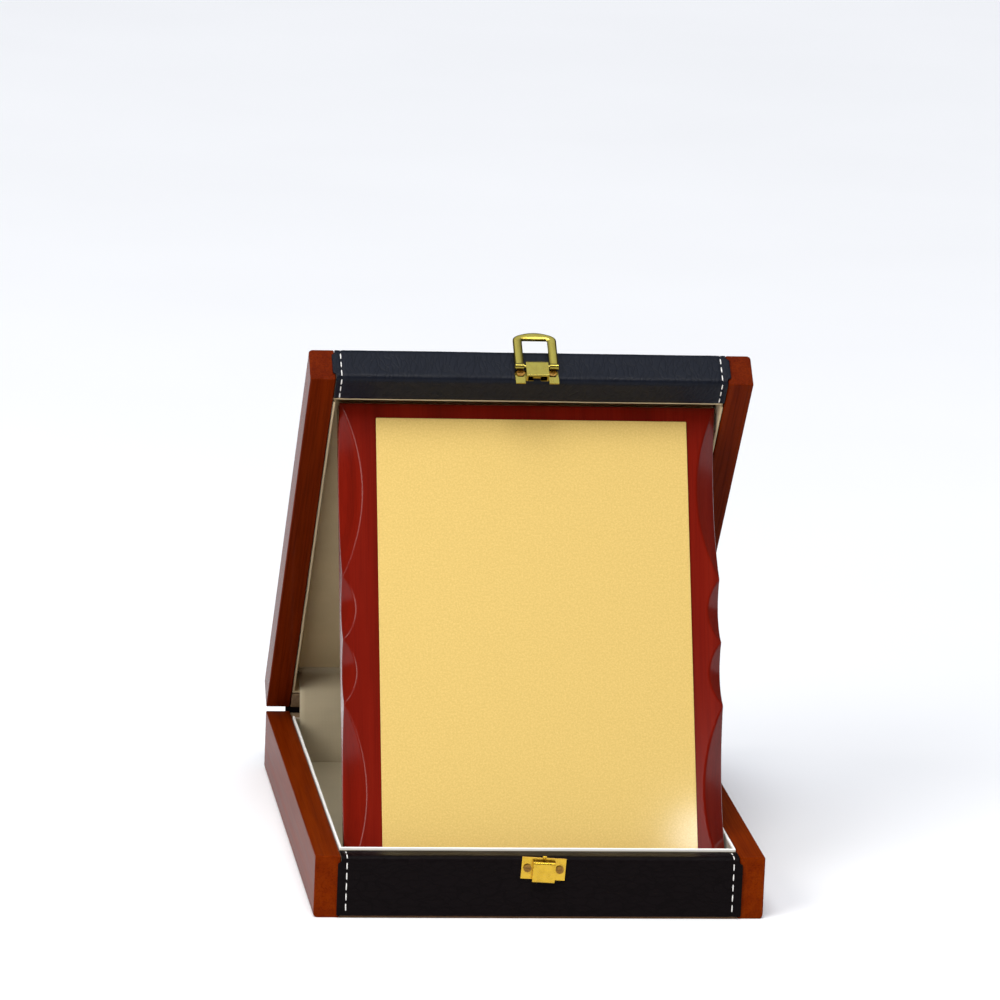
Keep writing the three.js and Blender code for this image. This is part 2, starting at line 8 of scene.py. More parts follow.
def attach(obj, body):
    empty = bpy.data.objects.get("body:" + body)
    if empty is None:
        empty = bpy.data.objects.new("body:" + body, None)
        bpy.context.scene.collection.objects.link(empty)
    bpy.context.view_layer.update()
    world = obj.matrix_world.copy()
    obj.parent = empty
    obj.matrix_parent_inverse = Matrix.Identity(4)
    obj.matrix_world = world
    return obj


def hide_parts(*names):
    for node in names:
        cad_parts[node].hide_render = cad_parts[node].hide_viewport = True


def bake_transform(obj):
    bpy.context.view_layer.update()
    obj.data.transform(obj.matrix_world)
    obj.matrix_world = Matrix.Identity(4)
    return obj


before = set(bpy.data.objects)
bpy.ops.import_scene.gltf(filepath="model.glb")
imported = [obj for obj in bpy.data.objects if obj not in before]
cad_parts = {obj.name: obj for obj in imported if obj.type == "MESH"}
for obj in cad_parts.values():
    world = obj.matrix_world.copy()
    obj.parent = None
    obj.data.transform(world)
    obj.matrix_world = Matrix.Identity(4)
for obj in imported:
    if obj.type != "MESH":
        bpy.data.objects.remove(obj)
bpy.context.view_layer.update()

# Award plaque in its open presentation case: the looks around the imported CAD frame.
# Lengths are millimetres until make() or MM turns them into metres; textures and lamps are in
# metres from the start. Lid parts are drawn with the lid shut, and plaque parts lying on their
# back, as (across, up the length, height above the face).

# ---- sizes, as in the CAD ----------------------------------------------------------
MM = 0.001
CASE_WIDTH, CASE_DEPTH = 220, 272
BASE_HEIGHT, LID_HEIGHT = 31, 18.6
RAIL_WIDTH = 12.5
GAP = 0.3
BOARD, PANEL, LEATHER, LINING = 10.5, 3, 0.8, 1.2
LID_FRONT_EXTRA = 4.9
HALF_WIDTH, HALF_DEPTH = CASE_WIDTH / 2, CASE_DEPTH / 2
RAIL_INNER = HALF_WIDTH - RAIL_WIDTH
PANEL_EDGE = RAIL_INNER - GAP
FACE = HALF_DEPTH + GAP + LEATHER
LIP_OUTER = HALF_DEPTH - BOARD - GAP
LINING_OUTER = LIP_OUTER - LEATHER - GAP
LINING_INNER = LINING_OUTER - LINING
LID_TOP = BASE_HEIGHT + LID_HEIGHT
LEATHER_LINE = FACE - LEATHER / 2
LIP_LINE = LIP_OUTER - LEATHER / 2
BASE_RIM_LINE = BASE_HEIGHT + 0.1 - LEATHER / 2
LID_RIM_LINE = BASE_HEIGHT - 0.1 + LEATHER / 2
LID_TOP_LINE = LID_TOP + 0.4 - LEATHER / 2
FRONT_REACH = RAIL_INNER + 1.4
BACK_REACH = RAIL_INNER + 2.3
BEND = 2.6                                    # radius of the leather over an edge
LEATHER_FOOT = 1.2                            # its lowest edge above the table
LIP_DEPTH = 7                                 # how far it laps into the case
BACK_DROP, BACK_RISE = 0.6, 3.2               # its edges below and above the parting line
BACK_MIDDLE = 16                              # about halfway down the base's back
FLOOR = PANEL + GAP
FLOOR_PAD, CEILING_PAD = 4.4, 1.6
LINING_RISE, LINING_RECESS, FRONT_RECESS = 0.9, 0.4, 1.6
WALL_TOP = LID_TOP_LINE - LEATHER / 2 - GAP - PANEL - GAP
CEILING = WALL_TOP - CEILING_PAD

HINGE = (0, HALF_DEPTH + 2.1, BASE_HEIGHT + 1.4)
LID_OPEN = math.radians(51)
PLAQUE_PIVOT = (0.8, -113.37, 17.17)
PLAQUE_OFFSET = (0, -6.23, 6.63)
PLAQUE_LEAN = math.radians(63.2)

PLAQUE_WIDTH, PLAQUE_LENGTH, PLAQUE_THICKNESS = 187.6, 239.5, 15
SCALLOPS = ((88, 10.5), (31.75, 6.5), (31.75, 6.5), (88, 10.5))   # chord, depth
SCALLOP_RUN = 12 / 10.5                                       # back for each mm in
GOLD_PLATE = {"width": 155, "length": 223.9, "thickness": 0.6, "shift": 1.5, "lift": 0.45}

LATCH_X = 1.7
PIN_Z, PIN_Y = 37, -FACE - 3.5
BAIL = {"half": 10.8, "inner": 6.3, "foot": 1.25, "length": 21.3, "bar": 4.7, "thick": 1.6}
EYE_RADIUS, EYE_BORE = 1.6, 1.2

# ---- frames ------------------------------------------------------------------------
SCALE = Matrix.Scale(MM, 4)
BASE = SCALE
LID = (SCALE @ Matrix.Translation(HINGE) @ Matrix.Rotation(-LID_OPEN, 4, "X")
       @ Matrix.Translation(-Vector(HINGE)))
PLAQUE = (SCALE @ Matrix.Translation(PLAQUE_PIVOT) @ Matrix.Rotation(PLAQUE_LEAN, 4, "X")
          @ Matrix.Translation(PLAQUE_OFFSET))
TURNS = {"base": 0.0, "lid": LID_OPEN, "plaque": -PLAQUE_LEAN}


# ---- meshes ------------------------------------------------------------------------
def make(name, points, faces, place, material, uv=None, sharp=35):
    """A mesh object from points in millimetres, drawn in the frame that place gives."""
    mesh = bpy.data.meshes.new(name)
    mesh.from_pydata([place @ Vector(p) for p in points], [], faces)
    if uv:
        layer = mesh.uv_layers.new(name="Flat")
        for loop in mesh.loops:
            layer.data[loop.index].uv = [c * MM for c in uv[loop.vertex_index]]
    form = bmesh.new()
    form.from_mesh(mesh)
    bmesh.ops.recalc_face_normals(form, faces=form.faces)
    form.to_mesh(mesh)
    form.free()
    mesh.shade_smooth()
    mesh.set_sharp_from_angle(angle=math.radians(sharp))
    mesh.materials.append(material)
    piece = bpy.data.objects.new(name, mesh)
    bpy.context.scene.collection.objects.link(piece)
    return piece


def even_shading(piece):
    """Keeps flat faces looking flat beside small rounded edges."""
    modifier = piece.modifiers.new("flat_faces", "WEIGHTED_NORMAL")
    modifier.keep_sharp = True
    return piece


def stand_for(piece, body, slot, *nodes):
    """The piece rides on the body and stands for the CAD nodes, which are hidden; its slot is not
    used.
    """
    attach(piece, body)
    if nodes:
        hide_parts(*nodes)
    return piece


def grid_faces(rows, columns, closed=False):
    """Four-sided faces between rows of points; closed joins each row's ends."""
    faces = []
    for i in range(rows - 1):
        for j in range(columns if closed else columns - 1):
            k = (j + 1) % columns
            faces.append((i * columns + j, i * columns + k,
                          (i + 1) * columns + k, (i + 1) * columns + j))
    return faces


def rounded_rect(a0, a1, b0, b1, radii, inset=0.0, steps=5):
    """Counter-clockwise points of a rectangle whose corners have their own radii."""
    centres = ((a0, b0, 180), (a1, b0, 270), (a1, b1, 0), (a0, b1, 90))
    points = []
    for (a, b, start), radius in zip(centres, radii):
        inward = (1 if a == a0 else -1, 1 if b == b0 else -1)
        left = max(radius - inset, 0.01)
        middle = (a + inward[0] * (inset + left), b + inward[1] * (inset + left))
        for i in range(steps + 1):
            angle = math.radians(start + 90 * i / steps)
            points.append((middle[0] + left * math.cos(angle), middle[1] + left * math.sin(angle)))
    return points


def bar(name, rect, radii, low, high, along, place, material, end=0.4, spacing=None, wave=0.0):
    """A bar of rounded section with rounded ends. along is x, y or z; rect is in the others."""
    rings = []
    steps = 4
    for i in range(steps + 1):
        angle = math.pi / 2 * i / steps
        rings.append((low + end * (1 - math.cos(angle)), end * (1 - math.sin(angle))))
    if spacing:
        count = max(1, round((high - low) / spacing))
        inner = [low + end + (high - low - 2 * end) * i / count for i in range(1, count)]
        rings += [(at, 0.0) for at in inner]
    rings += [(low + high - at, inset) for at, inset in reversed(rings[:steps + 1])]
    points, uv = [], []
    for at, inset in rings:
        ring = rounded_rect(*rect, radii, inset)
        around = 0.0
        for i, (a, b) in enumerate(ring):
            soft = wave * noise.noise(Vector((at * 0.06, a * 0.2, b * 0.2))) if wave else 0.0
            around += math.dist(ring[i], ring[i - 1]) if i else 0.0
            points.append({"x": (at, a + soft, b), "y": (a + soft, at, b), "z": (a, b, at)}[along])
            uv.append((at, around))
    size = len(ring)
    faces = grid_faces(len(rings), size, closed=True)
    last = (len(rings) - 1) * size
    faces += [tuple(range(size)), tuple(range(last, last + size))]
    return even_shading(make(name, points, faces, place, material, uv))


def rounded_line(corners, radius, step):
    """A polyline whose inner corners are rounded, as points about one step apart."""
    corners = [Vector(c) for c in corners]
    path = [corners[0]]
    for before, corner, after in zip(corners, corners[1:], corners[2:]):
        start = corner + (before - corner).normalized() * radius
        stop = corner + (after - corner).normalized() * radius
        path += [start.lerp(corner, t).lerp(corner.lerp(stop, t), t)
                 for t in (i / 6 for i in range(7))]
    path.append(corners[-1])
    return spaced(path, step)


def spaced(path, step):
    """Evenly spaced points along a path, at most one step apart."""
    lengths = [0.0]
    for a, b in zip(path, path[1:]):
        lengths.append(lengths[-1] + (b - a).length)
    count = max(2, math.ceil(lengths[-1] / step))
    result, k = [], 0
    for i in range(count + 1):
        at = lengths[-1] * i / count
        while k < len(path) - 2 and lengths[k + 1] < at:
            k += 1
        share = (at - lengths[k]) / max(lengths[k + 1] - lengths[k], 1e-9)
        result.append(path[k].lerp(path[k + 1], min(1.0, share)))
    return result


def outward(path, i):
    """The unit vector to the left of the line's direction at its point i."""
    along = (path[min(i + 1, len(path) - 1)] - path[max(i - 1, 0)]).normalized()
    return Vector((-along.y, along.x))


def length_of(path):
    return sum((b - a).length for a, b in zip(path, path[1:]))


# ---- materials ---------------------------------------------------------------------
class Nodes:
    """A material's shader and the few calls that wire its textures."""

    def __init__(self, name, **finish):
        self.material = bpy.data.materials.new(name)
        self.material.use_nodes = True
        self.tree = self.material.node_tree
        self.shader = self.tree.nodes["Principled BSDF"]
        for socket, value in finish.items():
            self.shader.inputs[socket.replace("_", " ")].default_value = value

    def add(self, kind, inputs=None, **settings):
        node = self.tree.nodes.new("ShaderNode" + kind)
        for key, value in settings.items():
            setattr(node, key, value)
        for key, value in (inputs or {}).items():
            if isinstance(value, bpy.types.NodeSocket):
                self.tree.links.new(value, node.inputs[key])
            else:
                node.inputs[key].default_value = value
        return node

    def place(self, scale, turn=0.0, flat=False):
        """Texture coordinates in metres times scale: the sheet's own, or the turned body's."""
        if flat:
            source = self.add("UVMap", uv_map="Flat").outputs[0]
        else:
            source = self.add("TexCoord").outputs["Object"]
            source = self.add("Mapping", {"Vector": source, "Rotation": (turn, 0, 0)}).outputs[0]
        return self.add("Mapping", {"Vector": source, "Scale": scale}).outputs[0]

    def noise(self, at, scale=1.0, detail=4.0, roughness=0.55, distortion=0.0):
        return self.add("TexNoise", {"Vector": at, "Scale": scale, "Detail": detail,
                                     "Roughness": roughness, "Distortion": distortion}).outputs[0]

    def ramp(self, fac, *stops):
        node = self.add("ValToRGB", {"Fac": fac})
        band = node.color_ramp
        while len(band.elements) < len(stops):
            band.elements.new(0.5)
        for element, (at, colour) in zip(band.elements, stops):
            element.position = at
            element.color = (*colour, 1) if isinstance(colour, tuple) else (colour,) * 3 + (1,)
        return node.outputs[0]

    def mix(self, fac, a, b, blend="MIX"):
        node = self.add("Mix", {0: fac, 6: a, 7: b}, data_type="RGBA", blend_type=blend)
        return node.outputs[2]

    def bump(self, height, strength, distance, normal=None):
        inputs = {"Height": height, "Strength": strength, "Distance": distance}
        if normal:
            inputs["Normal"] = normal
        return self.add("Bump", inputs).outputs[0]

    def set(self, socket, value):
        self.tree.links.new(value, self.shader.inputs[socket])


def colour(*rgb):
    return (*rgb, 1)


def varnished_wood(name, body, dark, mid, light, gloss):
    """Stained wood with long grain along the rails under a clear varnish."""
    n = Nodes(name, Roughness=0.42, IOR=1.03, Coat_Weight=gloss, Coat_Roughness=0.08,
              Coat_IOR=1.12)
    turn = TURNS[body]
    figure = n.noise(n.place((150, 5, 150), turn), detail=5, distortion=0.4)
    pores = n.noise(n.place((1500, 26, 1500), turn), detail=3)
    cloud = n.noise(n.place((14, 9, 14), turn), detail=2)
    tone = n.ramp(figure, (0.3, dark), (0.52, mid), (0.75, light))
    tone = n.mix(n.ramp(pores, (0.38, 0.3), (0.55, 0.0)), tone, colour(*dark), "MULTIPLY")
    tone = n.mix(n.ramp(cloud, (0.35, 0.22), (0.65, 0.0)), tone, colour(*dark))
    n.set("Base Color", tone)
    n.set("Roughness", n.ramp(figure, (0.3, 0.36), (0.8, 0.5)))
    waves = n.bump(cloud, 0.12, 0.0006)
    n.set("Normal", n.bump(pores, 0.12, 0.00008, waves))
    n.set("Coat Normal", waves)
    return n.material


def leatherette(name, creases, sharpness, ior, tint_and_sheen):
    """Black embossed leatherette; creases gives its cells to a metre, across and along."""
    n = Nodes(name, Roughness=0.38, IOR=ior)
    flat = n.place((1, 1, 1), flat=True)
    wander = n.noise(n.place((60, 60, 60), flat=True), detail=3)
    drift = n.add("VectorMath", {0: wander, 1: (0.012, 0.012, 0)}, operation="MULTIPLY").outputs[0]
    bent = n.add("VectorMath", {0: flat, 1: drift}, operation="ADD").outputs[0]
    at = n.add("Mapping", {"Vector": bent, "Scale": creases}).outputs[0]
    cells = n.add("TexVoronoi", {"Vector": at, "Scale": 1.0, "Randomness": 0.9},
                  feature="DISTANCE_TO_EDGE").outputs["Distance"]
    folds = n.ramp(cells, (0.0, 0.0), (0.09, 0.75), (0.3, 1.0))
    grain = n.noise(n.place((1900, 1900, 1900), flat=True), detail=3, roughness=0.6)
    slow = n.noise(n.place((35, 35, 35), flat=True), detail=2)
    # The crease lines are painted 30% darker: painted shade in the folds.
    tone = n.ramp(folds, (0.0, tuple(c * 0.7 for c in tint_and_sheen)), (0.8, tint_and_sheen))
    n.set("Base Color", n.mix(n.ramp(grain, (0.45, 0.0), (0.75, 0.35)), tone,
                              colour(*(c * 2 for c in tint_and_sheen))))
    n.set("Roughness", n.ramp(slow, (0.3, 0.36), (0.7, 0.5)))
    normal = n.bump(folds, sharpness, 0.00035)
    n.set("Normal", n.bump(grain, 0.22, 0.00012, normal))
    return n.material


def lining_cloth(name, tone=(0.55, 0.43, 0.24), painted_highlight_height=None):
    """Pale lining in a fine plain weave; from the given height up, its top edge is painted near
    white: a painted highlight where the edge faces the light.
    """
    n = Nodes(name, Roughness=0.9, Sheen_Weight=0.25, Sheen_Roughness=0.5)
    weave = []
    for axis in ("X", "Y"):
        weave.append(n.add("TexWave", {"Vector": n.place((1, 1, 1), flat=True), "Scale": 420,
                                       "Distortion": 0.8, "Detail": 1, "Detail Scale": 1.5},
                           bands_direction=axis).outputs["Fac"])
    threads = n.mix(0.5, weave[0], weave[1])
    cloud = n.noise(n.place((45, 45, 45), flat=True), detail=4)
    lint = n.noise(n.place((900, 900, 900), flat=True), detail=3)
    darker = colour(*(c * 0.8 for c in tone))
    cloth = n.mix(n.ramp(cloud, (0.35, 0.0), (0.7, 0.5)),
                  n.mix(n.ramp(threads, (0.2, 0.25), (0.7, 0.0)), colour(*tone), darker), darker)
    # Painted highlight: the cloth turns near white over its top, where its edge catches the light.
    if painted_highlight_height:
        height = n.add("SeparateXYZ", {0: n.add("TexCoord").outputs["Object"]}).outputs[2]
        above = n.add("MapRange", {"Value": height, "From Min": (painted_highlight_height - 0.2) * MM,
                                   "From Max": (painted_highlight_height + 0.2) * MM}).outputs[0]
        cloth = n.mix(above, cloth, colour(0.93, 0.92, 0.88))
    n.set("Base Color", cloth)
    n.set("Roughness", n.ramp(lint, (0.3, 0.85), (0.7, 0.97)))
    n.set("Normal", n.bump(lint, 0.2, 0.0001, n.bump(threads, 0.3, 0.00012)))
    return n.material


def mahogany():
    """Deep red piano lacquer over straight-grained wood."""
    n = Nodes("mahogany_lacquer", Roughness=0.4, IOR=1.05, Coat_Weight=1.0, Coat_Roughness=0.16,
              Coat_IOR=1.25)
    turn = TURNS["plaque"]
    figure = n.noise(n.place((90, 3.5, 90), turn), detail=6, distortion=0.8)
    pores = n.noise(n.place((1300, 22, 1300), turn), detail=2)
    cloud = n.noise(n.place((12, 5, 12), turn), detail=2)
    tone = n.ramp(figure, (0.28, (0.105, 0.0045, 0.0012)), (0.5, (0.152, 0.0058, 0.0016)),
                  (0.75, (0.19, 0.0095, 0.003)))
    tone = n.mix(n.ramp(pores, (0.36, 0.3), (0.5, 0.0)), tone, colour(0.08, 0.003, 0.001))
    n.set("Base Color", n.mix(n.ramp(cloud, (0.35, 0.2), (0.7, 0.0)), tone,
                              colour(0.11, 0.004, 0.0015)))
    n.set("Roughness", n.ramp(figure, (0.3, 0.34), (0.8, 0.46)))
    n.set("Coat Normal", n.bump(cloud, 0.08, 0.0008))
    return n.material


def satin_gold():
    """Fine-grained gold sheet: metal flakes under a satin film."""
    n = Nodes("satin_gold", Metallic=0.3, Roughness=0.5, Coat_Weight=0.35, Coat_Roughness=0.08)
    turn = TURNS["plaque"]
    sand = n.noise(n.place((1150, 1150, 1150), turn), detail=2, roughness=0.7)
    mottle = n.noise(n.place((900, 900, 900), turn), detail=4, roughness=0.8)
    tone = n.ramp(mottle, (0.35, (0.655, 0.45, 0.125)), (0.5, (0.685, 0.48, 0.138)),
                  (0.65, (0.715, 0.51, 0.157)))
    n.set("Base Color", n.mix(n.ramp(sand, (0.4, 0.55), (0.6, 0.0)), tone,
                              colour(0.57, 0.39, 0.10)))
    n.set("Roughness", n.ramp(sand, (0.3, 0.34), (0.7, 0.46)))
    n.set("Normal", n.bump(sand, 0.16, 0.00008))
    return n.material


def brass(name, tone, patina_and_shade, body, roughness, patch_scale=260):
    """Bright brass plating, brushed across, with darker patches: patina on the latch and keeper;
    on the screws, fine dark patches of painted shade for the recesses in their heads.
    """
    n = Nodes(name, Metallic=1.0, Roughness=roughness, Coat_Weight=0.3, Coat_Roughness=0.06)
    turn = TURNS[body]
    brushed = n.noise(n.place((300, 9000, 9000), turn), detail=2)
    patches = n.noise(n.place((patch_scale,) * 3, turn), detail=4)
    n.set("Base Color", n.mix(n.ramp(patches, (0.42, 0.0), (0.72, 0.6)), colour(*tone),
                              colour(*patina_and_shade)))
    n.set("Roughness", n.ramp(patches, (0.35, roughness), (0.7, roughness + 0.14)))
    n.set("Normal", n.bump(brushed, 0.12, 0.00004))
    return n.material


def fibreboard(name, tone):
    """Bare pressed board with fine fibres."""
    n = Nodes(name, Roughness=0.85)
    fibres = n.noise(n.place((700, 700, 700)), detail=6, roughness=0.7)
    cloud = n.noise(n.place((60, 60, 60)), detail=3)
    dark = tuple(c * 0.6 for c in tone)
    base = n.ramp(fibres, (0.35, dark), (0.6, tone))
    n.set("Base Color", n.mix(n.ramp(cloud, (0.4, 0.3), (0.7, 0.0)), base, colour(*dark)))
    n.set("Normal", n.bump(fibres, 0.35, 0.00012))
    return n.material


def thread():
    """Twisted white sewing thread."""
    n = Nodes("white_thread", Roughness=0.6, Sheen_Weight=0.4)
    twist = n.noise(n.place((2600, 2600, 2600)), detail=2)
    n.set("Base Color", n.ramp(twist, (0.35, (0.62, 0.6, 0.57)), (0.65, (0.9, 0.88, 0.84))))
    n.set("Normal", n.bump(twist, 0.4, 0.0001))
    return n.material


def adhesive_film():
    """The cloudy film that holds the gold plate."""
    n = Nodes("adhesive_film", Roughness=0.6)
    cloud = n.noise(n.place((120, 120, 120)), detail=3)
    n.set("Base Color", n.ramp(cloud, (0.35, (0.55, 0.53, 0.48)), (0.7, (0.7, 0.68, 0.62))))
    return n.material


# The base's copy of the wood is lighter than the lid's: painted light on its rims, which face up
# into the light.
LIT_BASE_WOOD = varnished_wood("base_wood", "base", (0.125, 0.0125, 0.0004), (0.16, 0.0185, 0.0006),
                           (0.19, 0.026, 0.0009), gloss=0.28)
LID_WOOD = varnished_wood("lid_wood", "lid", (0.095, 0.0085, 0.0008), (0.125, 0.013, 0.001),
                          (0.155, 0.0185, 0.0015), gloss=0.45)
# The lid's copy has a bluish tint: a painted reflection of the bright sky in its upward-facing
# front.
SHEENED_LID_LEATHER = leatherette("lid_leatherette", (420, 130, 1), 0.26, 1.22, (0.0036, 0.0049, 0.0098))
BASE_LEATHER = leatherette("base_leatherette", (110, 340, 1), 0.24, 1.1, (0.0046, 0.0032, 0.0036))
CLOTH = lining_cloth("lining_cloth")
# The base's lining and the floor pad are darker copies of the lining cloth, painted shade inside
# the base; the hinge cloth's copy is lighter than the base's, painted light where it catches light
# from above and in front.
SHADED_BASE_CLOTH = lining_cloth("base_lining_cloth", (0.36, 0.31, 0.20), BASE_HEIGHT - 0.4)
SHADED_FLOOR_CLOTH = lining_cloth("floor_cloth", (0.46, 0.40, 0.26))
HINGE_CLOTH = lining_cloth("hinge_cloth", (0.50, 0.43, 0.29))
MAHOGANY = mahogany()
GOLD = satin_gold()
LATCH_BRASS = brass("latch_brass", (0.31, 0.245, 0.036), (0.22, 0.16, 0.02), "lid", 0.15)
KEEPER_BRASS = brass("keeper_brass", (0.64, 0.40, 0.032), (0.48, 0.29, 0.022), "base", 0.18)
# The screws' fine, very dark patches are painted shade of the recesses in their heads; their
# darker tone is partly painted shade too.
SCREW_BRASS = brass("screw_brass", (0.30, 0.15, 0.022), (0.07, 0.03, 0.006), "base", 0.3, 900)
WALL_BOARD = fibreboard("wall_board", (0.40, 0.27, 0.15))
HARDBOARD = fibreboard("hardboard", (0.16, 0.075, 0.03))
THREAD = thread()


# ---- wood --------------------------------------------------------------------------
def side_rail(side, name, node, body):
    """The long edges away from the parting line are rounded more than the others."""
    place, material = (BASE, LIT_BASE_WOOD) if body == "base" else (LID, LID_WOOD)
    low, high = (0, BASE_HEIGHT) if body == "base" else (BASE_HEIGHT, LID_TOP)
    small, large = 0.7, 2.0
    bottom, top = (large, small) if body == "base" else (small, large)
    radii = (small, bottom, top, small) if side > 0 else (bottom, small, small, top)
    x = sorted((side * RAIL_INNER, side * HALF_WIDTH))
    piece = bar(name, (*x, low, high), radii, -HALF_DEPTH, HALF_DEPTH, "y", place, material, 0.6)
    stand_for(piece, body, body + "_rail_wood", node)


for side, hand in ((-1, "left"), (1, "right")):
    side_rail(side, f"base_{hand}_rail_wood", f"base_{hand}_rail", "base")
    side_rail(side, f"lid_{hand}_rail_wood", f"lid_{hand}_rail", "lid")


# ---- leatherette -------------------------------------------------------------------
SEAM_INSET = 4.4                              # from the sheet's edge
STITCH_X = FRONT_REACH - SEAM_INSET
STITCH_PITCH, STITCH_LENGTH, THREAD_RADIUS = 5.2, 3.9, 0.3
SEAM_WIDTH, SEAM_DEPTH = 1.0, 0.28
SEAM_COLUMNS = (0, 0.7, 1.5, 2.3, 2.9, 3.4, 3.8, 4.1, 4.4, 4.7, 5.0, 5.4, 5.9, 6.6, 8, 11, 16)
PLAIN_SPACING = 6
STEP = 0.8                                    # between points along a sheet


def columns(reach):
    """Places across a sheet: close together beside its two seams, wide apart between."""
    margin = reach - STITCH_X
    side = [n / SEAM_INSET * margin if n <= SEAM_INSET else n - SEAM_INSET + margin
            for n in SEAM_COLUMNS]
    middle = reach - side[-1]
    count = round(2 * middle / PLAIN_SPACING)
    between = [-middle + 2 * middle * i / count for i in range(1, count)]
    return [-reach + s for s in side] + between + [reach - s for s in reversed(side)]


def leather_sheet(name, path, reach_at, place, material, stitched, plain=0.12):
    """A sheet along path in (y, z), its outer side to the left of the path's direction."""
    across = columns(max(reach_at(p) for p in path))
    widest = across[-1]
    points, uv = [], []
    at = 0.0
    for i, p in enumerate(path):
        at += (p - path[i - 1]).length if i else 0.0
        out = outward(path, i)
        reach = reach_at(p)
        for x in across:
            x_here = x * reach / widest
            lift = plain * noise.noise(Vector((x * 0.03, at * 0.05, 1.7)))
            lift += 0.05 * noise.noise(Vector((x * 0.35, at * 0.06, 5.1)))
            if stitched:
                beside = math.exp(-((abs(x_here) - STITCH_X) / SEAM_WIDTH) ** 2)
                pull = 0.75 + 0.25 * math.cos(2 * math.pi * at / STITCH_PITCH)
                lift -= SEAM_DEPTH * beside * pull
            spot = p + out * lift
            points.append((x_here, spot.x, spot.y))
            uv.append((x_here, at))
    faces = grid_faces(len(path), len(across))
    piece = make(name, points, faces, place, material, uv, sharp=60)
    shell = piece.modifiers.new("leather", "SOLIDIFY")
    shell.thickness = LEATHER * MM
    shell.offset = 0
    shell.use_even_offset = True
    edge = piece.modifiers.new("soft_edge", "BEVEL")
    edge.width = 0.22 * MM
    edge.segments = 2
    edge.limit_method = "ANGLE"
    edge.angle_limit = math.radians(60)
    return piece


def seam(name, path, place, body, first, last):
    """White running stitches on both seams, lying on the outer face between first and last."""
    outer = LEATHER / 2 - SEAM_DEPTH + THREAD_RADIUS * 0.35
    for side, hand in ((-1, "left"), (1, "right")):
        points, faces = [], []
        count = int((last - first - STITCH_LENGTH) / STITCH_PITCH) + 1
        for k in range(count):
            start = first + k * STITCH_PITCH
            stitch(points, faces, path, side * STITCH_X, start, outer, k)
        piece = make(f"{name}_{hand}", points, faces, place, THREAD)
        stand_for(piece, body, "leather")


def stitch(points, faces, path, x, start, outer, k):
    """One stitch: a thread that dives into the leather at both ends."""
    rings, round_points = 9, 8
    lean = 0.12 * noise.noise(Vector((k * 1.7, x, 3)))
    base = len(points)
    for i in range(rings):
        share = i / (rings - 1)
        spot, out = place_on(path, start + share * STITCH_LENGTH)
        end = math.sin(math.pi * min(max(share, 0.02), 0.98)) ** 0.35
        depth = outer - 0.5 * (1 - end)
        radius = THREAD_RADIUS * (0.55 + 0.45 * end)
        for j in range(round_points):
            angle = 2 * math.pi * j / round_points
            height = depth + radius * math.sin(angle)
            here = spot + out * height
            sway = lean * (share - 0.5) * 2
            points.append((x + sway + radius * math.cos(angle), here.x, here.y))
    faces += [tuple(base + v for v in face) for face in grid_faces(rings, round_points, True)]
    last = base + (rings - 1) * round_points
    faces += [tuple(range(base, base + round_points)), tuple(range(last, last + round_points))]


def place_on(path, at):
    """The point at a length along a path, and its outward direction there."""
    i = 1
    while i < len(path) - 1 and at > (path[i] - path[i - 1]).length:
        at -= (path[i] - path[i - 1]).length
        i += 1
    step = (path[i] - path[i - 1]).length
    share = min(1.0, max(0.0, at / step))
    out = outward(path, i - 1).lerp(outward(path, i), share).normalized()
    return path[i - 1].lerp(path[i], share), out


def smooth(low, high, at):
    """0 up to low, 1 from high, and a soft step between."""
    t = min(1.0, max(0.0, (at - low) / (high - low)))
    return t * t * (3 - 2 * t)


WIDENING = 1.2                                # length over which a sheet grows onto the rails


def base_front_reach(p):
    """Half the front sheet's width: over the rails on its outer face, between them elsewhere."""
    if p.x < -HALF_DEPTH:
        share = smooth(0, WIDENING, BASE_HEIGHT - BEND - p.y)
        return PANEL_EDGE + (FRONT_REACH - PANEL_EDGE) * share
    return PANEL_EDGE


def lid_reach(p):
    """Half the lid sheet's width: over the rails on its front and back faces only."""
    below_top = smooth(0, WIDENING, LID_TOP - BEND - p.y)
    if p.x > HALF_DEPTH:
        return PANEL_EDGE + (BACK_REACH - PANEL_EDGE) * below_top
    if p.x < -HALF_DEPTH:
        share = below_top * smooth(0, WIDENING, p.y - BASE_HEIGHT - BEND)
        return PANEL_EDGE + (FRONT_REACH - PANEL_EDGE) * share
    return PANEL_EDGE


BASE_FRONT_PATH = rounded_line([
    (-LEATHER_LINE, LEATHER_FOOT), (-LEATHER_LINE, BASE_RIM_LINE), (-LIP_LINE, BASE_RIM_LINE),
    (-LIP_LINE, BASE_HEIGHT - LIP_DEPTH)], BEND, STEP)
BASE_BACK_PATH = rounded_line([
    (LEATHER_LINE, BASE_HEIGHT - BACK_DROP), (LEATHER_LINE, BACK_MIDDLE),
    (LEATHER_LINE, LEATHER_FOOT)], BEND, STEP)
LID_LIP = LID_FRONT_EXTRA - LIP_LINE
LID_PATH = rounded_line([
    (LID_LIP, BASE_HEIGHT + LIP_DEPTH), (LID_LIP, LID_RIM_LINE), (-LEATHER_LINE, LID_RIM_LINE),
    (-LEATHER_LINE, LID_TOP_LINE), (LEATHER_LINE, LID_TOP_LINE),
    (LEATHER_LINE, BASE_HEIGHT + BACK_RISE)], BEND, STEP)

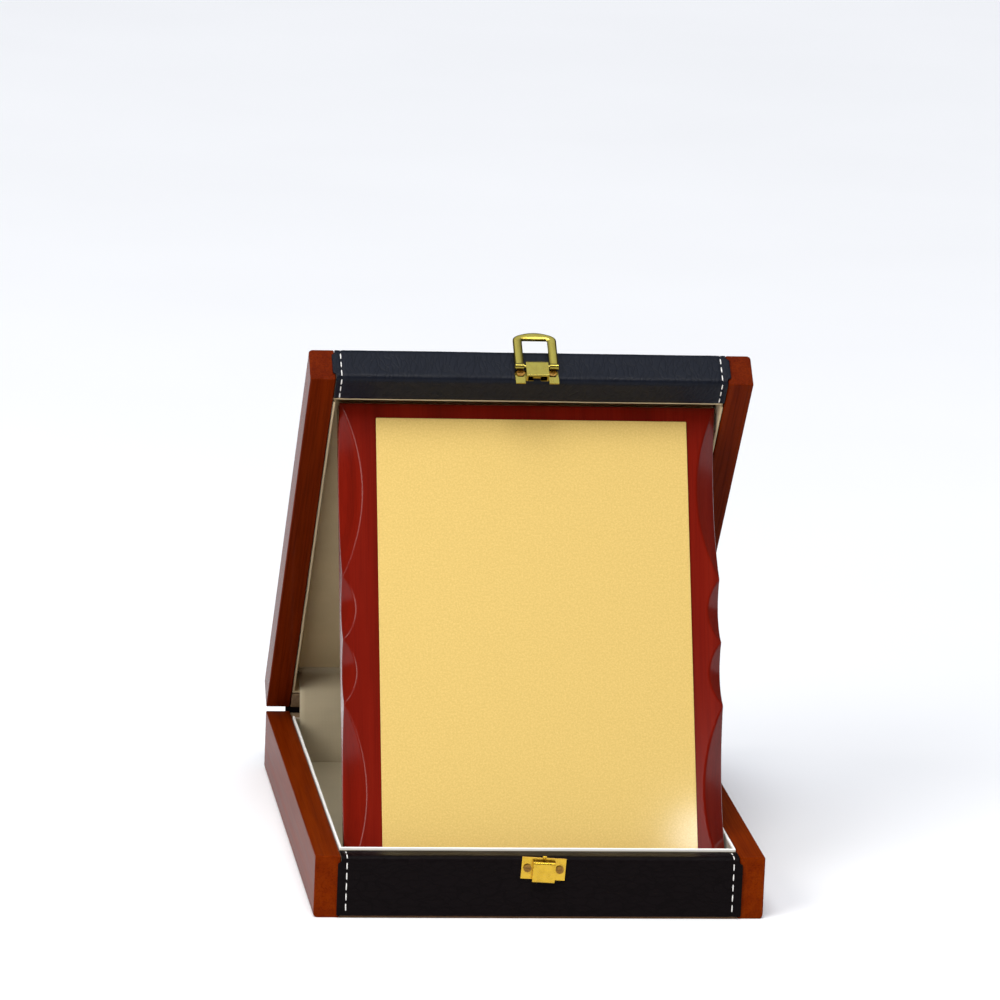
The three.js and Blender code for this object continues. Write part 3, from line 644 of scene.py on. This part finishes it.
base_front = leather_sheet("base_front_leatherette", BASE_FRONT_PATH, base_front_reach, BASE,
                           BASE_LEATHER, True)
base_back = leather_sheet("base_back_leatherette", BASE_BACK_PATH, lambda p: BACK_REACH, BASE,
                          BASE_LEATHER, True)
lid_wrap = leather_sheet("lid_leatherette_wrap", LID_PATH, lid_reach, LID, SHEENED_LID_LEATHER, True)
stand_for(base_front, "base", "leather", "base_front_leather")
stand_for(base_back, "base", "leather", "base_back_leather")
stand_for(lid_wrap, "lid", "leather", "lid_leather")

LAST_STITCH_GAP = 0.8                         # at least this much free at a sheet's last edge
seam("base_front_stitches", BASE_FRONT_PATH, BASE, "base", 2.2,
     length_of(BASE_FRONT_PATH) - LIP_DEPTH)
seam("base_back_stitches", BASE_BACK_PATH, BASE, "base", 1.5,
     length_of(BASE_BACK_PATH) - LAST_STITCH_GAP)
seam("lid_stitches", LID_PATH, LID, "lid", LIP_DEPTH, length_of(LID_PATH) - LAST_STITCH_GAP)


def spine():
    """The free leather from the base's back to the lid's, drawn bent as it lies with the lid open.

    It is shorter than the least flat length declared here, so its area is given as well.
    """
    turned = [SCALE.inverted() @ LID @ Vector((0, LEATHER_LINE, z))
              for z in (BASE_HEIGHT + BACK_RISE, BASE_HEIGHT + BACK_RISE + 1)]
    low = Vector((LEATHER_LINE, BASE_HEIGHT - BACK_DROP))
    high, beyond = (Vector((p.y, p.z)) for p in turned)
    pull = (high - low).length * 0.45
    a, b = low + Vector((0, pull)), high - (beyond - high).normalized() * pull
    steps = 14
    path = []
    for i in range(steps + 1):
        t = i / steps
        path.append(low * (1 - t) ** 3 + a * 3 * t * (1 - t) ** 2 + b * 3 * t * t * (1 - t)
                    + high * t ** 3)
    piece = leather_sheet("spine_leatherette", list(reversed(path)), lambda p: BACK_REACH, BASE,
                          BASE_LEATHER, False, plain=0.05)
    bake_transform(piece)
    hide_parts("base_spine_leather", "lid_spine_leather")


# ---- linings -----------------------------------------------------------------------
LINING_RADII = (0.55,) * 4
LINING_FORM = {"end": 0.4, "spacing": 3, "wave": 0.12}
PAD_EDGE = (0, 0.12, 0.4, 0.9, 1.6, 2.5, 3.6)     # columns close to a pad's rounded edge
PAD_SPACING = 5


def front_extra(body):
    """How much further back the front lining stands, because the lid's front wall is thicker."""
    return LID_FRONT_EXTRA if body == "lid" else 0


def end_lining(name, node, body, side, low, high):
    """The lining of a front wall (side -1) or back wall (side 1), from height low to high."""
    place, cloth = (BASE, SHADED_BASE_CLOTH) if body == "base" else (LID, CLOTH)
    extra = front_extra(body) if side < 0 else 0
    y = sorted((side * LINING_INNER + extra, side * LINING_OUTER + extra))
    piece = bar(name, (*y, low, high), LINING_RADII, -PANEL_EDGE, PANEL_EDGE, "x", place, cloth,
                **LINING_FORM)
    stand_for(piece, body, "lining", node)


def side_lining(name, node, body, side, low, high):
    """The lining of a left rail (side -1) or right rail (side 1), from height low to high."""
    place, cloth = (BASE, SHADED_BASE_CLOTH) if body == "base" else (LID, CLOTH)
    x = sorted((side * (PANEL_EDGE - LINING), side * PANEL_EDGE))
    y = LINING_INNER - GAP
    front = front_extra(body) - y
    piece = bar(name, (*x, low, high), LINING_RADII, front, y, "y", place, cloth, **LINING_FORM)
    stand_for(piece, body, "lining", node)


def soft_pad(name, node, body, flat, crown, softness, cloth):
    """A thin foam pad under cloth: flat where it is glued, rounded down at its edges."""
    place = BASE if body == "base" else LID
    x, y = PANEL_EDGE - LINING - GAP, LINING_INNER - GAP
    points, uv = [], []
    middle = front_extra(body) / 2
    xs, ys = pad_places(x), [middle + b for b in pad_places(y - middle)]
    for b in ys:
        for a in xs:
            away = min(x - abs(a), y - middle - abs(b - middle))
            share = min(1.0, away / softness)
            rise = math.sqrt(max(0.0, 1 - (1 - share) ** 2))
            sag = 0.25 * noise.noise(Vector((a * 0.02, b * 0.02, flat))) * share
            sag += 0.06 * noise.noise(Vector((a * 0.09, b * 0.09, flat))) * share
            height = flat + (crown - flat) * rise * (0.96 - 0.48 * abs(sag))
            points.append((a, b, height))
            uv.append((a, b))
    nx, ny = len(xs), len(ys)
    faces = grid_faces(ny, nx)
    rim = [*range(nx)] + [i * nx + nx - 1 for i in range(1, ny)]
    rim += [(ny - 1) * nx + j for j in range(nx - 2, -1, -1)]
    rim += [i * nx for i in range(ny - 2, 0, -1)]
    faces.append(tuple(rim))
    piece = make(name, points, faces, place, cloth, uv, sharp=80)
    stand_for(piece, body, "lining", node)


def pad_places(half):
    """Places from -half to half, close together at both ends."""
    inner = half - PAD_EDGE[-1]
    count = round(2 * inner / PAD_SPACING)
    middle = [-inner + 2 * inner * i / count for i in range(1, count)]
    return [-half + e for e in PAD_EDGE] + middle + [half - e for e in reversed(PAD_EDGE)]


BASE_LINING_TOP = BASE_HEIGHT + LINING_RISE
BACK_LINING_TOP = BASE_HEIGHT - LINING_RECESS
LID_LINING = (BASE_HEIGHT + LINING_RECESS, CEILING - GAP)
LID_FRONT_LINING = (BASE_HEIGHT + FRONT_RECESS, CEILING - GAP)

end_lining("base_front_lining_cloth", "base_front_lining", "base", -1, FLOOR, BASE_LINING_TOP)
end_lining("base_back_lining_cloth", "base_back_lining", "base", 1, FLOOR, BACK_LINING_TOP)
end_lining("lid_front_lining_cloth", "lid_front_lining", "lid", -1, *LID_FRONT_LINING)
end_lining("lid_back_lining_cloth", "lid_back_lining", "lid", 1, *LID_LINING)
for side, hand in ((-1, "left"), (1, "right")):
    side_lining(f"base_{hand}_lining_cloth", f"base_{hand}_lining", "base", side, FLOOR,
                BASE_LINING_TOP)
    side_lining(f"lid_{hand}_lining_cloth", f"lid_{hand}_lining", "lid", side, *LID_LINING)
soft_pad("floor_pad_cloth", "base_floor_pad", "base", FLOOR, FLOOR + FLOOR_PAD, 1.6,
         SHADED_FLOOR_CLOTH)
soft_pad("ceiling_pad_cloth", "lid_ceiling_pad", "lid", WALL_TOP - GAP, CEILING, 0.7, CLOTH)


# The hinge cloth's section in (y, z) as displayed: up the base's back lining, free from the
# second point to the seventh, then round into the open lid.
HINGE_CLOTH_LINE = (
    (122.35, 6.6), (122.45, 29.8), (123.1, 32), (124.1, 35.6), (125.5, 40.2), (127.4, 44.6),
    (130.2, 47), (133.7, 49.7), (136.4, 51.9), (136.1, 53.4), (134.8, 55.2))
HINGE_CLOTH_INSET, HINGE_CLOTH_COLUMNS, HINGE_CLOTH_THICKNESS = 4, 60, 0.55


def relaxed(path):
    """The path with each inner point moved towards its neighbours' middle."""
    inner = [(a + b * 2 + c) / 4 for a, b, c in zip(path, path[1:], path[2:])]
    return [path[0], *inner, path[-1]]


def hinge_cloth():
    """The lining cloth across the hinge: glued inside both halves and free between them.

    The free part has next to no slack as displayed.
    """
    path = spaced([Vector(c) for c in HINGE_CLOTH_LINE], STEP)
    for _ in range(6):
        path = relaxed(path)
    reach = RAIL_INNER - HINGE_CLOTH_INSET
    across = [-reach + 2 * reach * i / HINGE_CLOTH_COLUMNS for i in range(HINGE_CLOTH_COLUMNS + 1)]
    points, uv = [], []
    for i, p in enumerate(path):
        out = outward(path, i)
        fade = math.sin(math.pi * i / (len(path) - 1))
        for x in across:
            lift = 0.25 * noise.noise(Vector((x * 0.05, i * 0.15, 9))) * fade
            spot = p + out * lift
            points.append((x, spot.x, spot.y))
            uv.append((x, i * STEP))
    piece = make("hinge_cloth", points, grid_faces(len(path), len(across)), BASE, HINGE_CLOTH, uv,
                 sharp=60)
    shell = piece.modifiers.new("cloth", "SOLIDIFY")
    shell.thickness = HINGE_CLOTH_THICKNESS * MM
    shell.offset = 0
    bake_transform(piece)
    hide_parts("hinge_lining_cloth")


spine()
hinge_cloth()


# ---- plaque ------------------------------------------------------------------------
SECTION_SPACING = 1.5
END_SECTIONS = (0.08, 0.3, 0.7, 1.2)          # in from either end of the board


def scallop_depth(s):
    """How far the face is cut back from the side at a length s up the board."""
    start = 0.0
    for chord, depth in SCALLOPS:
        if s <= start + chord + 1e-6:
            tilt = math.atan(1 / SCALLOP_RUN)
            sagitta = depth * math.cos(tilt)
            radius = (chord * chord / 4 + sagitta * sagitta) / (2 * sagitta)
            off = s - start - chord / 2
            inside = math.sqrt(max(0.0, radius * radius - off * off)) - (radius - sagitta)
            return max(0.0, inside) / math.cos(tilt)
        start += chord
    return 0.0


def rounded_corner(before, corner, after, radius, steps=3):
    """Points that round one corner of an outline."""
    before, corner, after = (Vector(p) for p in (before, corner, after))
    reach = min(radius, (before - corner).length * 0.45, (after - corner).length * 0.45)
    start = corner + (before - corner).normalized() * reach
    stop = corner + (after - corner).normalized() * reach
    return [start.lerp(corner, t).lerp(corner.lerp(stop, t), t)
            for t in (i / steps for i in range(steps + 1))]


def board_ring(s):
    """The board's section at s, as (across, depth behind the face), right side then left."""
    half = PLAQUE_WIDTH / 2
    cut = max(0.5, scallop_depth(s))
    corners = [(0, 0), (half - cut, 0), (half, cut * SCALLOP_RUN), (half, PLAQUE_THICKNESS),
               (0, PLAQUE_THICKNESS)]
    right = rounded_corner(*corners[0:3], 0.9)
    right += rounded_corner(*corners[1:4], 0.7)
    right += rounded_corner(*corners[2:5], 1.0)
    return right + [Vector((-p.x, p.y)) for p in reversed(right)]


def quarter(at, radius):
    """How far a rounded end of that radius is cut back, at a distance from its tip."""
    return radius - math.sqrt(max(0.0, radius * radius - (radius - min(at, radius)) ** 2))


def board_places():
    """Lengths up the board that get a section: closer at its ends and where scoops meet."""
    places = set()
    start = 0.0
    for chord, _ in SCALLOPS:
        count = round(chord / SECTION_SPACING)
        places |= {round(start + chord * (1 - math.cos(math.pi * i / count)) / 2, 4)
                   for i in range(count + 1)}
        start += chord
    places |= {*END_SECTIONS, 1.9}
    places |= {PLAQUE_LENGTH - at for at in END_SECTIONS}
    return sorted(places)


def plaque_board():
    """The board with its scalloped sides and rounded edges, as one lofted skin."""
    places = board_places()
    points = []
    for s in places:
        to_top = PLAQUE_LENGTH - s
        shallow = max(quarter(s, 1), quarter(to_top, 1))
        deep = PLAQUE_THICKNESS - max(quarter(s, 3), quarter(to_top, 1.5))
        narrow = PLAQUE_WIDTH / 2 - max(quarter(s, 0.6), quarter(to_top, 0.6))
        for p in board_ring(s):
            x = min(narrow, max(-narrow, p.x))
            points.append((x, s, -min(deep, max(shallow, p.y))))
    size = len(board_ring(0))
    faces = grid_faces(len(places), size, closed=True)
    last = (len(places) - 1) * size
    faces += [tuple(range(size)), tuple(range(last, last + size))]
    piece = even_shading(make("scalloped_board", points, faces, PLAQUE, MAHOGANY, sharp=28))
    stand_for(piece, "plaque", "mahogany", "plaque_board")


def gold_plate():
    """The blank plate on the board's face."""
    half, shift = GOLD_PLATE["width"] / 2, GOLD_PLATE["shift"]
    low = (PLAQUE_LENGTH - GOLD_PLATE["length"]) / 2
    lift = GOLD_PLATE["lift"]
    piece = bar("gold_plate_sheet", (shift - half, shift + half, low, PLAQUE_LENGTH - low),
                (0.5,) * 4, lift, lift + GOLD_PLATE["thickness"], "z", PLAQUE, GOLD, 0.14)
    stand_for(piece, "plaque", "gold_plate", "gold_plate")


plaque_board()
gold_plate()


# ---- latch and keeper --------------------------------------------------------------
def bail_outlines():
    """Matching points of the bail's outer and inner edges, from its left foot to its right."""
    half, inner, top, foot = BAIL["half"], BAIL["inner"], BAIL["length"], BAIL["foot"]
    window = top - BAIL["bar"]
    ease = 0.8
    shoulder, drop = (-half + 4, top - 1.2), 5
    side = [((-half, foot + (top - drop - foot) * t), (-inner, foot + (window - ease - foot) * t))
            for t in (i / 6 for i in range(7))]
    corner = [(curve((-half, top - drop), (-half, top - 2.4), shoulder, t),
               curve((-inner, window - ease), (-inner, window), (-inner + ease, window), t))
              for t in (i / 7 for i in range(1, 8))]
    across = [(curve(shoulder, (0, top + 1.2), (-shoulder[0], shoulder[1]), t),
               (-inner + ease + 2 * (inner - ease) * t, window))
              for t in (i / 12 for i in range(1, 7))]
    left = side + corner + across
    right = [((-a[0], a[1]), (-b[0], b[1])) for a, b in reversed(left[:-1])]
    return left + right


def curve(a, b, c, t):
    """The point at t on the curve from a to c that b pulls."""
    return tuple(p * (1 - t) ** 2 + q * 2 * t * (1 - t) + r * t * t for p, q, r in zip(a, b, c))


def ring_tube(outer, bore, x0, x1, y, z, steps=28):
    """Points and faces of a short tube along X with eased edges."""
    ease = 0.15
    section = [(x0 + ease, outer), (x1 - ease, outer), (x1, outer - ease), (x1, bore + 0.05),
               (x1 - 0.05, bore), (x0 + 0.05, bore), (x0, bore + 0.05), (x0, outer - ease)]
    points = []
    for i in range(steps):
        angle = 2 * math.pi * i / steps
        points += [(x, y + r * math.cos(angle), z + r * math.sin(angle)) for x, r in section]
    size = len(section)
    faces = [(i * size + j, i * size + (j + 1) % size,
              ((i + 1) % steps) * size + (j + 1) % size, ((i + 1) % steps) * size + j)
             for i in range(steps) for j in range(size)]
    return points, faces


def joined(body, *others):
    """The body with the others joined to it by boolean union, which are then removed."""
    for other in others:
        modifier = body.modifiers.new("join", "BOOLEAN")
        modifier.operation, modifier.solver, modifier.object = "UNION", "EXACT", other
    graph = bpy.context.evaluated_depsgraph_get()
    whole = bpy.data.meshes.new_from_object(body.evaluated_get(graph))
    body.modifiers.clear()
    body.data = whole
    for other in others:
        bpy.data.objects.remove(other)
    whole.shade_smooth()
    whole.set_sharp_from_angle(angle=math.radians(32))
    return body


def bail():
    """A flat loop with eased edges on two eyes round the pin."""
    half_thick = BAIL["thick"] / 2
    section = ((0, half_thick - 0.15), (0, -0.15), (0.07, -0.5), (0.2, -half_thick),
               (0.62, -half_thick), (0.9, -0.45), (1, -0.1), (1, half_thick - 0.15),
               (0.95, half_thick), (0.05, half_thick))
    points = []
    for outer, inner in bail_outlines():
        for share, depth in section:
            x = outer[0] + (inner[0] - outer[0]) * share
            z = outer[1] + (inner[1] - outer[1]) * share
            points.append((LATCH_X + x, PIN_Y + depth, PIN_Z + z))
    rows, size = len(bail_outlines()), len(section)
    faces = grid_faces(rows, size, closed=True)
    last = (rows - 1) * size
    faces += [tuple(range(size)), tuple(range(last, last + size))]
    loop = make("bail_loop", points, faces, LID, LATCH_BRASS)
    eyes = []
    for side in (-1, 1):
        x0, x1 = sorted((LATCH_X + side * BAIL["half"], LATCH_X + side * BAIL["inner"]))
        tube = ring_tube(EYE_RADIUS, EYE_BORE, x0, x1, PIN_Y, PIN_Z)
        eyes.append(make("eye", *tube, LID, LATCH_BRASS))
    piece = even_shading(joined(loop, *eyes))
    stand_for(piece, "bail", "latch_brass", "latch_bail")


bail()


def finish_node(name, material, ease=0.0):
    """A CAD node keeps its shape and gets its finish, with eased edges where asked."""
    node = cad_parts[name]
    node.data.materials.clear()
    node.data.materials.append(material)
    if ease:
        modifier = node.modifiers.new("eased_edges", "BEVEL")
        modifier.width = ease * MM
        modifier.segments = 2
        modifier.limit_method = "ANGLE"
        modifier.angle_limit = math.radians(40)
        modifier.harden_normals = True


finish_node("latch_plate", LATCH_BRASS, 0.12)
finish_node("latch_pin", LATCH_BRASS, 0.12)
finish_node("keeper_plate", KEEPER_BRASS, 0.12)
for name in ("latch_screw_left", "latch_screw_right", "keeper_screw_left", "keeper_screw_right"):
    finish_node(name, SCREW_BRASS, 0.06)
for name in ("base_front_board", "base_back_board", "lid_front_board", "lid_back_board"):
    finish_node(name, WALL_BOARD, 1.3)
finish_node("base_bottom_panel", HARDBOARD, 0.3)
finish_node("lid_top_panel", HARDBOARD, 1.2)
finish_node("plate_adhesive", adhesive_film())

# ---- studio ------------------------------------------------------------------------
CAMERA = {"azimuth": -7.59, "elevation": 12.8, "roll": 2.36, "distance": 3177.5,
          "target": (-9.31, 0, 176.68), "lens": 229.1}
FLOOR_REACH = 30e3
WARM_WHITE = (1, 0.985, 0.96)
# The sky's colour by the sine of the height above the horizon: dark all round, so that the
# varnish stays deep, and bright overhead.
SKY = ((0.0, (0.10, 0.085, 0.07, 1)), (0.7, (0.07, 0.07, 0.075, 1)), (0.86, (0.6, 0.64, 0.72, 1)),
       (1.0, (1.4, 1.55, 1.85, 1)))


def camera():
    """A long lens from the front, a little left and above, with a slight roll."""
    azimuth, elevation, roll = (math.radians(CAMERA[k]) for k in ("azimuth", "elevation", "roll"))
    back = Vector((math.sin(azimuth) * math.cos(elevation),
                   -math.cos(azimuth) * math.cos(elevation), math.sin(elevation)))
    level = (-back).cross(Vector((0, 0, 1))).normalized()
    upright = level.cross(-back)
    right = level * math.cos(roll) + upright * math.sin(roll)
    up = upright * math.cos(roll) - level * math.sin(roll)
    spot = (Vector(CAMERA["target"]) + back * CAMERA["distance"]) * MM
    data = bpy.data.cameras.new("camera")
    data.lens, data.sensor_width, data.clip_end = CAMERA["lens"], 36, 100
    eye = bpy.data.objects.new("camera", data)
    eye.matrix_world = Matrix.Translation(spot) @ Matrix((right, up, back)).transposed().to_4x4()
    bpy.context.scene.collection.objects.link(eye)
    bpy.context.scene.camera = eye


def light(name, kind, place, target, **settings):
    """A lamp at a place in metres, aimed at the target."""
    data = bpy.data.lights.new(name, kind)
    for key, value in settings.items():
        setattr(data, key, value)
    lamp = bpy.data.objects.new(name, data)
    lamp.location = place
    aim = Vector(target) - Vector(place)
    lamp.rotation_euler = aim.to_track_quat("-Z", "Y").to_euler()
    bpy.context.scene.collection.objects.link(lamp)


def floor():
    """A plain pale floor."""
    n = Nodes("pale_floor", Roughness=0.9)
    patches = n.noise(n.place((3, 3, 3)), detail=2)
    n.set("Base Color", n.ramp(patches, (0.3, (0.93, 0.93, 0.93)), (0.7, (0.95, 0.95, 0.95))))
    far = FLOOR_REACH
    ground = make("floor", [(-far, -far, 0), (far, -far, 0), (far, far, 0), (-far, far, 0)],
                  [(0, 1, 2, 3)], BASE, n.material)


def sky():
    """Soft light from all round, brightest overhead."""
    world = bpy.data.worlds.new("studio")
    world.use_nodes = True
    tree = world.node_tree
    height = tree.nodes.new("ShaderNodeSeparateXYZ")
    fade = tree.nodes.new("ShaderNodeValToRGB")
    tree.links.new(tree.nodes.new("ShaderNodeTexCoord").outputs["Generated"], height.inputs[0])
    tree.links.new(height.outputs["Z"], fade.inputs["Fac"])
    tree.links.new(fade.outputs[0], tree.nodes["Background"].inputs["Color"])
    band = fade.color_ramp
    while len(band.elements) < len(SKY):
        band.elements.new(0.5)
    for element, (at, shade) in zip(band.elements, SKY):
        element.position, element.color = at, shade
    bpy.context.scene.world = world


def lights():
    """A broad light from above, a soft box at the left, and a small one glinting in the plate."""
    light("top", "SUN", (-0.1, -0.5, 1), (0, 0, 0), energy=1.9, angle=math.radians(30),
          color=WARM_WHITE)
    light("left_box", "AREA", (-1.55, -1.42, 1.40), (0, 0, 0.12), energy=36, size=1.2,
          color=WARM_WHITE)
    light("glint", "AREA", (0.318, -1.262, 0.922), (0.09, -0.1, 0.05), energy=0.17, shape="DISK",
          size=0.035)


camera()
floor()
sky()
lights()
bpy.context.scene.view_settings.view_transform = "Standard"
